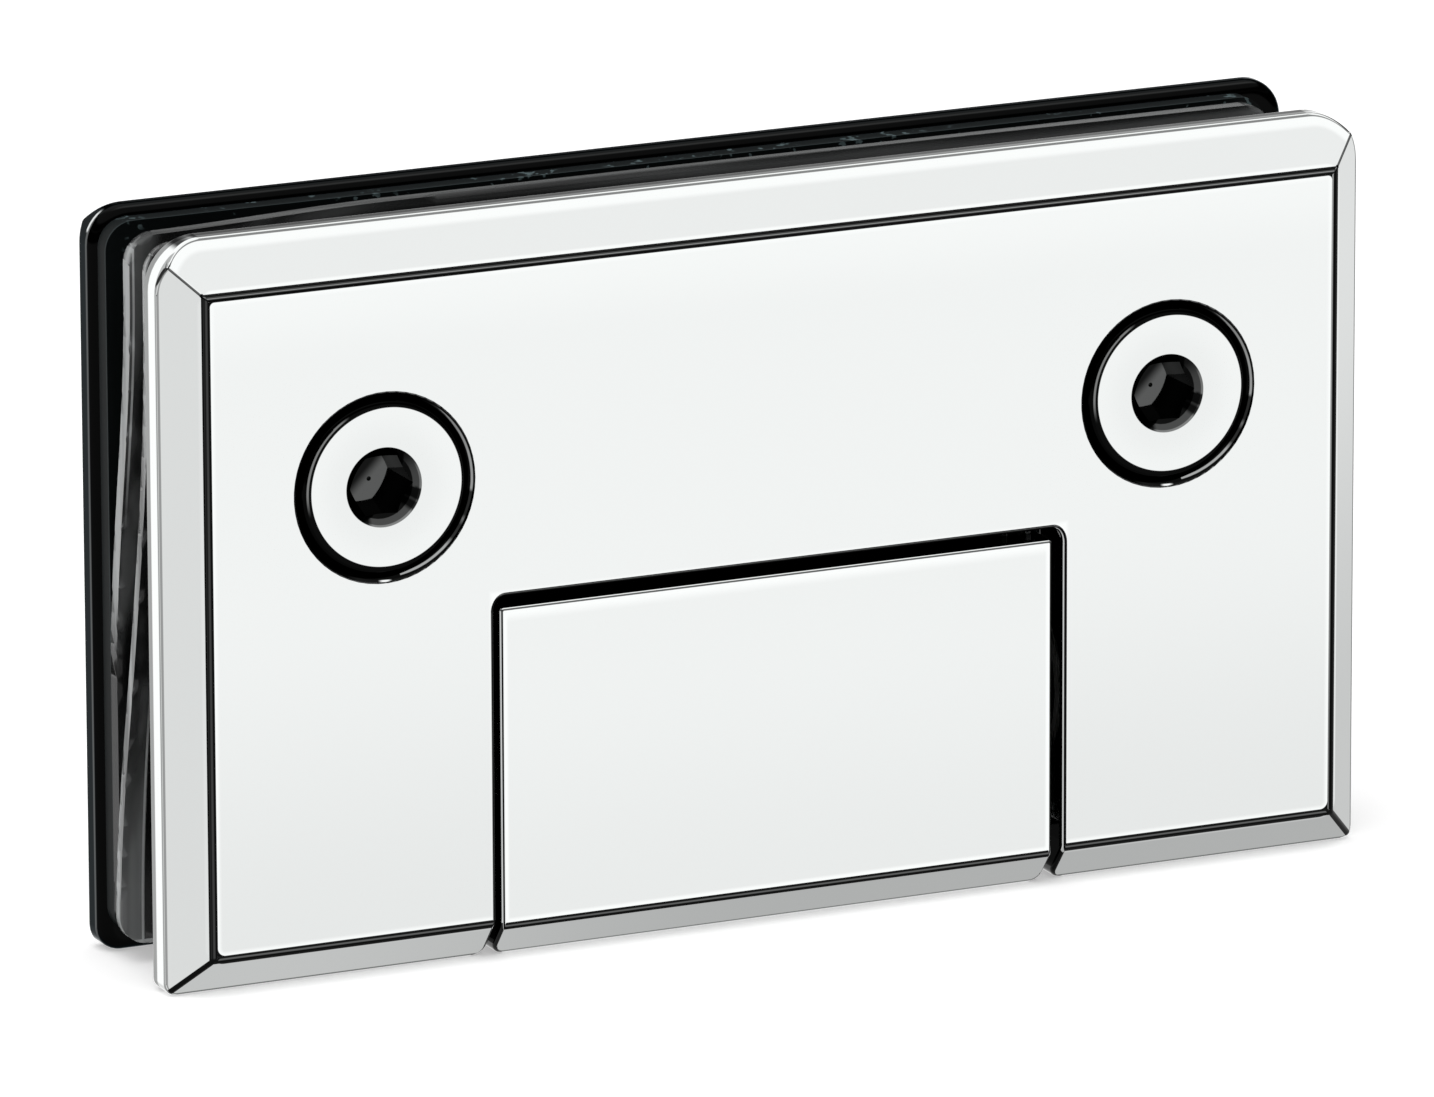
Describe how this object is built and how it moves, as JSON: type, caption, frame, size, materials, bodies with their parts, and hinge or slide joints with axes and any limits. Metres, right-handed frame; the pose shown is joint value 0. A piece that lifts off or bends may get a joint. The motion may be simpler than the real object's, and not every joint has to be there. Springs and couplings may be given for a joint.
{
  "type": "glass door hinge",
  "caption": "Bevelled polished clamp hinge for a frameless glass door, swinging on a pin through a block that screws to the wall.",
  "frame": {"origin": "middle of the foot, at mid-depth", "axes": "+X along the pin, the front face looks towards -Y, +Z from the wall into the door"},
  "size_m": [0.09, 0.0176, 0.0522],
  "materials": {
    "polished_chrome": "mirror-polished plating",
    "screw_chrome": "bright plating",
    "black_rubber": "matt with a little dust",
    "clear_vinyl": "clear soft sheet",
    "white_nylon": "moulded",
    "plain_steel": "machined",
    "small_fixings": "plain",
    "spring_steel": "drawn wire"
  },
  "bodies": {
    "wall_block": {"pivot_block": "polished_chrome", "flanged_bush_left": "white_nylon", "flanged_bush_right": "white_nylon", "follower": "plain_steel", "follower_spring_left": "spring_steel", "follower_spring_right": "spring_steel", "spring_cover": "plain_steel", "cover_screws": "small_fixings"},
    "glass_clamp": {"front_plate": "polished_chrome", "back_plate": "polished_chrome", "clamp_screw_left": "screw_chrome", "clamp_screw_right": "screw_chrome", "back_gasket": "black_rubber", "rear_clear_gasket": "clear_vinyl", "front_clear_gasket": "clear_vinyl", "screw_sleeve_left": "white_nylon", "screw_sleeve_right": "white_nylon", "pivot_pin": "plain_steel", "pin_carrier_left": "plain_steel", "pin_carrier_right": "plain_steel", "carrier_screws_left": "small_fixings", "carrier_screws_right": "small_fixings", "lock_screw_left": "small_fixings", "lock_screw_right": "small_fixings"}
  },
  "joints": [
    {"name": "door_swing", "type": "hinge", "parent": "wall_block", "child": "glass_clamp", "pos_m": [0, 0, 0.0132], "axis": [1, 0, 0], "range_deg": [-90, 90]}
  ]
}
